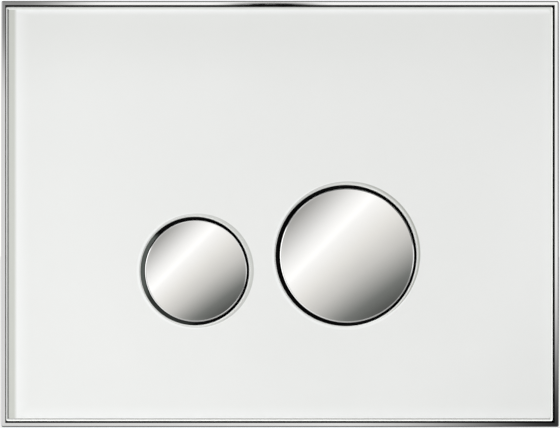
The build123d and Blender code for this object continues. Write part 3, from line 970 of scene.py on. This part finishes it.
def slotted_head(bm, y_top):
    """A disc with a rounded rim and a screwdriver slot."""
    disc = bmesh.ops.create_cone(bm, cap_ends=True, segments=HEAD_SEGMENTS, radius1=HEAD_R, radius2=HEAD_R,
                                 depth=HEAD_H)["verts"]
    stand_at(bm, disc, (0, y_top + HEAD_H / 2, 0))
    rim = [e for e in bm.edges if all(abs(v.co.y - y_top) < MERGE for v in e.verts)]
    bmesh.ops.bevel(bm, geom=rim, offset=HEAD_ROUND, segments=4, profile=0.5, affect="EDGES", material=-1)
    for side in (-1, 1):
        everything = bm.verts[:] + bm.edges[:] + bm.faces[:]
        bmesh.ops.bisect_plane(bm, geom=everything, plane_co=(0, 0, side * SLOT_HALF),
                               plane_no=(0, 0, side))
    slot = [f for f in bm.faces if abs(f.calc_center_median().z) < SLOT_HALF and f.normal.y < FACES_FRONT]
    for vert in new_verts(bmesh.ops.extrude_face_region(bm, geom=slot)):
        vert.co.y = y_top + SLOT_DEPTH
    bmesh.ops.delete(bm, geom=[f for f in slot if f.is_valid], context="FACES")


print("bolt head", 2 * HEAD_R / MM, "mm across, slot", 2 * SLOT_HALF / MM, "mm wide")

# %% [markdown]
# The shank starts inside the head, so that no gap opens between them. One bolt is made, and its twin is a
# copy, moved by the distance between the two.

# %% Fixing bolts: shanks and twin
BOLT_R = 3.0 * MM
BOLT_CORE = BOLT_R - 0.4 * MM
BOLT_VALLEY = BOLT_R - 0.45 * MM
NECK_R = 2.64 * MM
NECK_END = 14 * MM
NECK_TAPER = 0.5 * MM
IN_HEAD = 3 * MM
POINT = 1.2 * MM
THREAD_OFF = 0.6 * MM
BOLT_SEGMENTS = 32


def fixing_bolts():
    low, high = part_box("fixing_bolts")
    bm = bmesh.new()
    slotted_head(bm, low.y)
    outline = [(0, low.y + IN_HEAD), (NECK_R, low.y + IN_HEAD), (NECK_R, NECK_END)]
    outline += [(BOLT_CORE, NECK_END + NECK_TAPER), (BOLT_CORE, high.y - POINT)]
    outline += [(BOLT_R - POINT, high.y), (0, high.y)]
    turn_shape(bm, outline, BOLT_SEGMENTS)
    cut_thread(bm, BOLT_VALLEY, BOLT_R, NECK_END, high.y - THREAD_OFF)
    bmesh.ops.translate(bm, vec=(low.x + HEAD_R, 0, 0), verts=bm.verts[:])
    twin = new_verts(bmesh.ops.duplicate(bm, geom=bm.verts[:] + bm.edges[:] + bm.faces[:]))
    bmesh.ops.translate(bm, vec=(high.x - low.x - 2 * HEAD_R, 0, 0), verts=twin)
    return finish_piece("slotted_fixing_bolts", bm, "fixing_bolts", [FINISH["steel"]], sharp=40.0)


fixing_bolts()

# %% [markdown]
# The remaining parts already have the right shape in CAD, but every edge there is perfectly sharp, and
# nothing that comes out of a mould or a press is. A copy of each node's mesh is merged, its flat
# triangles are joined into whole faces, and its edges get a small radius that catches the light. Only the
# rim's front stays as it is, because its chamfer is already a polished facet.

# %% Soft-edged mouldings and pressings
ROUNDING = {"surround_frame": 0.1, "carrier_plate": 0.2, "mounting_frame": 0.3, "snap_clips": 0.08,
            "fixing_washers": 0.12}
for key in KEYS:
    ROUNDING[key + "_plunger"] = 0.2
    ROUNDING[key + "_retaining_clip"] = 0.1
    ROUNDING[key + "_lock_nut"] = 0.3
SHARP_FROM = radians(35.0)
FLAT = radians(1.0)
CRISP_TO = FRONT + 1.0 * MM


def soft_copy(node, width):
    """A copy of a CAD node whose sharp edges, behind the crisp front, are rounded."""
    bm = bmesh.new()
    bm.from_mesh(frame["nodes"][node].data)
    bmesh.ops.remove_doubles(bm, verts=bm.verts, dist=2 * MERGE)
    bmesh.ops.dissolve_limit(bm, angle_limit=FLAT, use_dissolve_boundaries=False,
                             verts=bm.verts, edges=bm.edges)
    sharp = [e for e in bm.edges if len(e.link_faces) == 2 and e.calc_face_angle() > SHARP_FROM]
    sharp = [e for e in sharp if min(v.co.y for v in e.verts) > CRISP_TO]
    bmesh.ops.bevel(bm, geom=sharp, offset=width, offset_type="OFFSET", segments=2, profile=0.5,
                    affect="EDGES", clamp_overlap=True, material=-1)
    return finish_piece(node + "_soft_edged", bm, node, [FINISH[SLOT_OF[node]]])


for node, width in ROUNDING.items():
    soft_copy(node, width * MM)

# %% [markdown]
# The foam tape is die-cut from a sheet, so its edges really are sharp, and its CAD node stays. It only
# needs its finish in place of the plain one it came with.

# %% Foam tape
tape = frame["nodes"]["bonding_tape"]
for slot in tape.material_slots:
    slot.material = FINISH["foam"]
print("carried over from CAD:", tape.name, [slot.material.name for slot in tape.material_slots])

# %% [markdown]
# The plate stands on a plain pale floor. Seen by the camera it is nearly white paper that keeps a soft
# shadow: three parts of its own white to one part of what the lamps make of it. The floor keeps out of
# mirror reflections, because the keys would otherwise show a bright floor where the photograph shows the
# dark end of the card.

# %% Floor
FLOOR_TONES = ((0.86, 0.86, 0.86), (0.88, 0.88, 0.88))
FLOOR_SCALE = 3.0
FLOOR_SIZE = 8.0
OWN_WHITE = 0.75


def pale_floor():
    material, tree, shader, place = start_finish("pale_floor", Roughness=0.7)
    feed(tree, shader, Base_Color=uneven(tree, place, FLOOR_SCALE, tones=FLOOR_TONES)["Color"])
    paper = add_node(tree, "ShaderNodeEmission", Color=(1, 1, 1, 1)).outputs[0]
    by_camera = add_node(tree, "ShaderNodeLightPath").outputs["Is Camera Ray"]
    seen = calculate(tree, "MULTIPLY", by_camera, OWN_WHITE)
    both = add_node(tree, "ShaderNodeMixShader", i0=seen, i1=shader.outputs["BSDF"], i2=paper).outputs[0]
    feed(tree, tree.nodes["Material Output"], Surface=both)
    bm = bmesh.new()
    bmesh.ops.create_grid(bm, x_segments=1, y_segments=1, size=FLOOR_SIZE)
    bmesh.ops.translate(bm, vec=(0, 0, cad_low.z), verts=bm.verts[:])
    floor = add_object("floor", bm, [material])
    floor.visible_glossy = False
    return floor


floor = pale_floor()
print("floor at z", round(floor.data.vertices[0].co.z / MM, 1), "mm")

# %% [markdown]
# Chrome shows the studio more than itself. The photograph's keys show one card in front of the plate, lit
# along a diagonal: a bright streak up and to the left of the middle, fading to a dark end at the lower
# right. That card is a ramp over the direction that a mirror ray takes, a little warm where it is grey
# and greenish where it is dark.

# %% World: the lit card
# Where along the diagonal, and how light.
CARD = [(-0.15, 0.37), (-0.09, 0.94), (-0.056, 1.18), (-0.044, 1.06),
        (0.0, 0.87), (0.05, 0.63), (0.115, 0.20), (0.155, 0.08)]
CARD_SPAN = 0.165
# The least grey for each tint, lightest first.
CARD_TINTS = [(0.9, (1.008, 1.0, 0.992)), (0.3, (1.022, 1.003, 0.968)), (0.0, (0.985, 1.025, 0.975))]


def card_tone(tree, along):
    """The card's tone along its diagonal."""
    made = add_node(tree, "ShaderNodeValToRGB", Fac=ramp(tree, along, -CARD_SPAN, CARD_SPAN))
    stops = made.color_ramp.elements
    while len(stops) < len(CARD):
        stops.new(0.5)
    for stop, (where, grey) in zip(stops, CARD):
        stop.position = (where + CARD_SPAN) / (2 * CARD_SPAN)
        tint = next(tint for least, tint in CARD_TINTS if grey > least)
        stop.color = (*(grey * part for part in tint), 1)
    return made.outputs["Color"]


print("card stops:", len(CARD))

# %% [markdown]
# A ring light round the card draws the white line on the bevels of the keys: their slope sends a mirror
# ray to the ring from every side. It is strong at both sides, greyer below and to the right, and dark
# above, as the lines in the photograph are.

# %% World: the ring light
RING_WIDTH = (0.10, 0.14)
RING_SLOPE = (-0.5, 0.6, 1.7, 0.42)
RING_LEVEL = (0.12, 0.28)
RING_RIGHT = (0.2, 0.6)
RING_WHITE = (1.15, 1.15, 1.15, 1)
RING_DARK = (0.06, 0.06, 0.06, 1)
DARK_ABOVE = (-0.30, -0.20)
DARK_TILT = 0.15


def ring_tone(tree, way, slant):
    """The tone of the ring light by its direction."""
    beside = soft_share(tree, calculate(tree, "ABSOLUTE", way["Z"]), *RING_LEVEL)
    at_right = calculate(tree, "MULTIPLY", beside, ramp(tree, way["X"], *RING_RIGHT))
    tone = blend_colours(tree, at_right, ramp(tree, slant, *RING_SLOPE), RING_WHITE)
    height = calculate(tree, "ADD", way["Z"], calculate(tree, "MULTIPLY", way["X"], DARK_TILT))
    above = soft_share(tree, calculate(tree, "MULTIPLY", height, -1.0), *DARK_ABOVE)
    return blend_colours(tree, above, tone, RING_DARK)


print("ring light at", round(2 * BEVEL_ANGLE * 180 / pi), "degrees from straight ahead")

# %% [markdown]
# The rest is a room with a light ceiling and a dark lower half, so that the chrome looks like metal from
# every side. Exactly at the sides it is dark, which draws the thin outline of the rim, except at the
# left, where the photograph's outline is light. The card's grey bends a little towards its dark end, so
# the diagonal is turned there.

# %% World: what mirrors see
CARD_BORDER = (0.94, 0.965)
CARD_BEND = (-0.05, 0.08, 0.0, 0.15)
LEAST_DEPTH = 0.05
ROOM_FADE = (-0.25, 0.35)
ROOM_TOP = 0.9
ROOM_FLOOR = 0.1
SIDE_DARK = (0.08, 0.16)
SIDE_TONE = (-0.9, -0.6, 0.7, 0.08)


def mirror_view(tree, way):
    """The studio that a mirror ray meets, by its direction."""
    ahead = calculate(tree, "MULTIPLY", way["Y"], -1.0)
    depth = calculate(tree, "MAXIMUM", ahead, LEAST_DEPTH)
    slant = calculate(tree, "MULTIPLY", calculate(tree, "SUBTRACT", way["X"], way["Z"]), sqrt(0.5))
    cross = calculate(tree, "MULTIPLY", calculate(tree, "ADD", way["X"], way["Z"]), sqrt(0.5))
    along = calculate(tree, "DIVIDE", slant, depth)
    sideways = calculate(tree, "DIVIDE", cross, depth)
    bend = calculate(tree, "MULTIPLY", sideways, ramp(tree, along, *CARD_BEND))
    card = card_tone(tree, calculate(tree, "SUBTRACT", along, bend))
    room = soft_share(tree, calculate(tree, "MULTIPLY", way["Z"], -1.0), *ROOM_FADE, ROOM_TOP - ROOM_FLOOR)
    room = calculate(tree, "ADD", room, ROOM_FLOOR)
    off_ring = calculate(tree, "ABSOLUTE", calculate(tree, "SUBTRACT", ahead, cos(2 * BEVEL_ANGLE)))
    tone = blend_colours(tree, soft_share(tree, off_ring, *RING_WIDTH), room, ring_tone(tree, way, slant))
    sides = soft_share(tree, calculate(tree, "ABSOLUTE", way["Y"]), *SIDE_DARK)
    tone = blend_colours(tree, sides, tone, ramp(tree, way["X"], *SIDE_TONE))
    return blend_colours(tree, soft_share(tree, ahead, *CARD_BORDER), card, tone)


print("room from", ROOM_FLOOR, "to", ROOM_TOP)

# %% [markdown]
# For matt surfaces the world is only a soft even light, brighter from above. The camera sees plain white
# past the plate, so that the background stays pale from every side without more light on the object.

# %% World: the three views together
SOFT_LIGHT = (-0.6, 0.8, 0.28, 0.44)


def studio_world():
    world = bpy.data.worlds.new("soft_studio")
    scene.world = world
    world.use_nodes = True
    tree = world.node_tree
    tree.nodes.clear()
    way = axes(tree, add_node(tree, "ShaderNodeTexCoord").outputs["Generated"])
    ray = add_node(tree, "ShaderNodeLightPath").outputs
    soft = ramp(tree, way["Z"], *SOFT_LIGHT)
    lit = blend_colours(tree, ray["Is Glossy Ray"], soft, mirror_view(tree, way))
    final = blend_colours(tree, ray["Is Camera Ray"], lit, (1, 1, 1, 1))
    shine = add_node(tree, "ShaderNodeBackground", Color=final, Strength=1.0)
    add_node(tree, "ShaderNodeOutputWorld", Surface=shine.outputs[0])
    return world


print("world:", studio_world().name)

# %% [markdown]
# One large soft lamp stands far to the right of the camera, and lights the panel evenly. Two weak ones
# low at the sides lift the lower corners of the panel, as in the photograph, and one behind shows the
# black carrier's ribs to whoever walks round the plate. Mirrors show none of them, because the card and
# the ring stand for the studio there. Light linking leaves the floor out of the light of the last three,
# or they would burn white spots into it and throw more shadows.

# %% Lamps
MAIN_LAMP = ("main_lamp", (4.4, -3.6, 1.4), 3.2, 197.0)
SMALL_LAMPS = [
    ("left_fill", (-0.28, -0.36, -0.05), 0.06, 0.50),
    ("right_fill", (0.20, -0.16, -0.05), 0.05, 0.030),
    ("back_lamp", (-0.9, 1.3, 0.9), 0.8, 36.0),
]


def soft_lamp(name, spot, size, power):
    """A round lamp that faces the middle of the plate: its place, its width and its power in watts."""
    light = bpy.data.lights.new(name, "AREA")
    light.shape = "DISK"
    light.size = size
    light.energy = power
    lamp = bpy.data.objects.new(name, light)
    scene.collection.objects.link(lamp)
    lamp.location = spot
    lamp.rotation_euler = (-Vector(spot)).to_track_quat("-Z", "Y").to_euler()
    lamp.visible_glossy = False
    return lamp


floor_apart = bpy.data.collections.new("floor_apart")
floor_apart.objects.link(floor)
floor_apart.collection_objects[0].light_linking.link_state = "EXCLUDE"
soft_lamp(*MAIN_LAMP)
for lamp_values in SMALL_LAMPS:
    soft_lamp(*lamp_values).light_linking.receiver_collection = floor_apart

# %% [markdown]
# The rim mirrors what stands close in front of the plate: a light grey, paler along the top, darker near
# two opposite corners, and one dark lens at the middle of the top, where the camera itself is mirrored. A
# photographer would call it a card with a window cut in it. Only mirror rays meet this one, and it is
# see-through inside the window, where the keys look out.

# %% Window card: its tones
CARD_Y = -0.12
ACROSS_CARD = (-0.11, 0.11, 0.76, 0.92)
# Where a pale or dark place is, its reach, the share of that where it is whole, and how light it is.
PLACES = [
    ((0.03, 0.0868), (0.16, 0.012), 0.6, 1.03),
    ((0.1127, -0.0868), (0.095, 0.075), 0.0, 0.03),
    ((-0.1127, 0.0868), (0.045, 0.045), 0.1, 0.30),
    ((-0.003, 0.0852), (0.027, 0.0016), 0.3, 0.01),
]
WINDOW = {"X": (0.080, 0.098), "Z": (0.056, 0.072)}


def border_tone(tree, place):
    """The card's grey: lighter to the right, with its pale and dark places blended in."""
    tone = ramp(tree, axes(tree, place)["X"], *ACROSS_CARD)
    for (x, z), (reach_x, reach_z), whole, grey in PLACES:
        away = away_from(tree, place, (x, CARD_Y, z), (reach_x, 1, reach_z))
        tone = blend_colours(tree, soft_share(tree, away, whole, 1.0), tone, (grey, grey, grey, 1))
    return tone


def border_share(tree, place):
    """One on the card's border, nothing in its window."""
    across = axes(tree, place)
    window = 1.0
    for axis, limits in WINDOW.items():
        inside = soft_share(tree, calculate(tree, "ABSOLUTE", across[axis]), *limits)
        window = calculate(tree, "MULTIPLY", window, inside)
    return calculate(tree, "SUBTRACT", 1.0, window)


print("pale and dark places:", len(PLACES))

# %% [markdown]
# The card is a square sheet, parallel to the plate. Its border gives light and its window is a
# transparent shader. Turning off its other ray visibilities leaves it to mirrors alone.

# %% Window card
CARD_HALF = 0.125


def window_card():
    material, tree = empty_material("window_card")
    place = add_node(tree, "ShaderNodeTexCoord").outputs["Object"]
    paper = add_node(tree, "ShaderNodeEmission", Color=border_tone(tree, place)).outputs[0]
    clear = add_node(tree, "ShaderNodeBsdfTransparent").outputs[0]
    share = border_share(tree, place)
    both = add_node(tree, "ShaderNodeMixShader", i0=share, i1=clear, i2=paper).outputs[0]
    add_node(tree, "ShaderNodeOutputMaterial", Surface=both)
    bm = bmesh.new()
    sheet = bmesh.ops.create_grid(bm, x_segments=1, y_segments=1, size=CARD_HALF)["verts"]
    stand_at(bm, sheet, (0, CARD_Y, 0))
    card = add_object("window_card", bm, [material])
    card.visible_camera = False
    card.visible_diffuse = False
    card.visible_shadow = False
    card.visible_transmission = False
    return card


print("card with a window:", window_card().name)

# %% [markdown]
# The photograph looks straight at the plate from far away, with almost no margin. The camera stands two
# metres in front of the middle with a long lens, and the lens follows from the width that has to fit the
# frame.

# %% Camera
VIEW_W = 0.21693
DISTANCE = 2.0
SENSOR = 36.0
camera_data = bpy.data.cameras.new("straight_view")
camera_data.sensor_width = SENSOR
camera_data.lens = SENSOR * DISTANCE / VIEW_W
camera = bpy.data.objects.new("straight_view", camera_data)
scene.collection.objects.link(camera)
camera.location = (0, cad_low.y - DISTANCE, 0)
camera.rotation_euler = (pi / 2, 0, 0)
scene.camera = camera
scene.view_settings.view_transform = "Standard"
print("lens", round(camera_data.lens, 1), "mm at", DISTANCE, "m")
